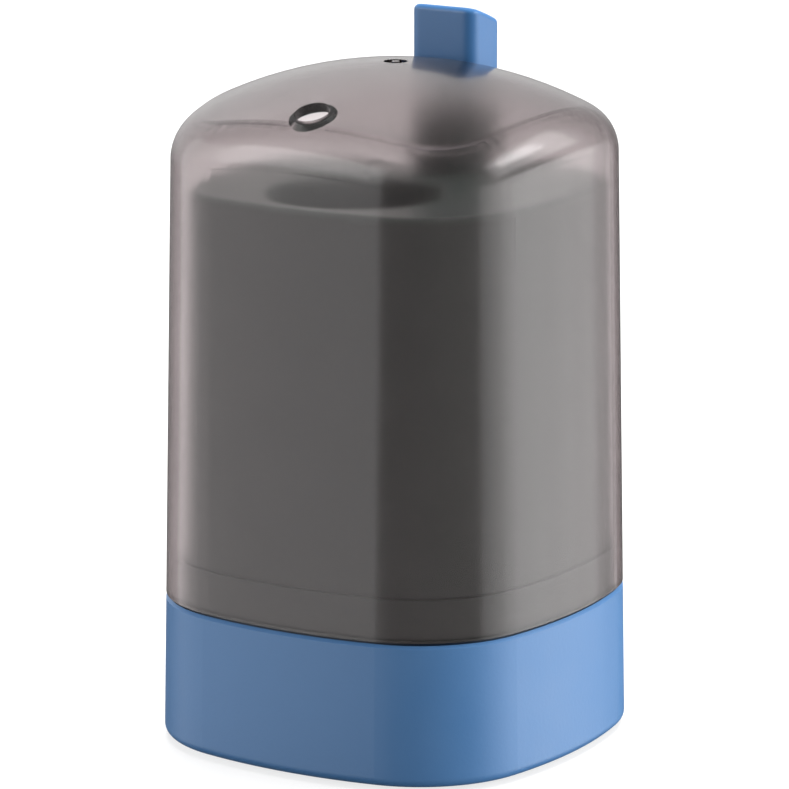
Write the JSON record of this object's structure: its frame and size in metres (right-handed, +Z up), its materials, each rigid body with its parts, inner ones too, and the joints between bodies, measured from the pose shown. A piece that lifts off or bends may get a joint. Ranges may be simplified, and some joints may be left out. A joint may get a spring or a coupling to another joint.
{
  "type": "toothpick dispenser",
  "caption": "Press-button toothpick dispenser: smoked lift-off dome over a grey container on a blue base; the button rocks a lever that raises a pick through the dome's hole.",
  "frame": {"origin": "middle of the underside, on the surface the pads stand on", "axes": "+Z up, front (the side with the pick's hole) towards -Y, +X to the right seen from the front"},
  "size_m": [0.064, 0.064, 0.109],
  "materials": {
    "smoked_plastic": "smoked translucent styrene, glossy outside",
    "blue_plastic": "fine matt moulded ABS",
    "button_plastic": "fine matt moulded ABS",
    "grey_plastic": "satin moulded ABS, dark green-grey",
    "dark_grey_plastic": "satin moulded ABS",
    "acetal": "natural white acetal",
    "bright_steel": "drawn bright",
    "spring_steel": "oiled spring steel",
    "zinc_steel": "zinc plated",
    "rubber": "matt black rubber"
  },
  "bodies": {
    "frame": {"base_shell": "blue_plastic", "inner_housing": "grey_plastic", "magazine_floor": "dark_grey_plastic", "floor_screws": "zinc_steel", "guide_bush": "acetal", "return_spring": "spring_steel", "pivot_pin": "bright_steel", "pin_clips": "spring_steel", "pivot_bracket": "dark_grey_plastic", "bracket_screws": "zinc_steel", "housing_screws": "zinc_steel", "grip_pads": "rubber"},
    "dome": {"dome_cover": "smoked_plastic"},
    "button": {"button_cap": "button_plastic", "push_rod": "bright_steel", "rod_clip": "spring_steel"},
    "lever": {"rocker_lever": "acetal"},
    "lifter": {"lifter_rod": "bright_steel", "lifter_shoe": "acetal"}
  },
  "joints": [
    {"name": "dome_lift", "type": "slide", "parent": "frame", "child": "dome", "axis": [0, 0, 1], "range_m": [0, 0.092]},
    {"name": "button_press", "type": "slide", "parent": "frame", "child": "button", "axis": [0, 0, -1], "range_m": [0, 0.004], "stiffness_N_per_m": 400, "springref_m": -0.004, "deforming": ["return_spring"]},
    {"name": "lever_rock", "type": "hinge", "parent": "frame", "child": "lever", "pos_m": [0, 0.00732, 0.01214], "axis": [-1, 0, 0], "range_deg": [0, 22.9]},
    {"name": "lifter_rise", "type": "slide", "parent": "frame", "child": "lifter", "axis": [0, 0, 1], "range_m": [0, 0.012]}
  ],
  "couplings": [
    {"joint": "lever_rock", "follows": "button_press", "rad_per_m": 99.914},
    {"joint": "lifter_rise", "follows": "button_press", "ratio": 3}
  ]
}
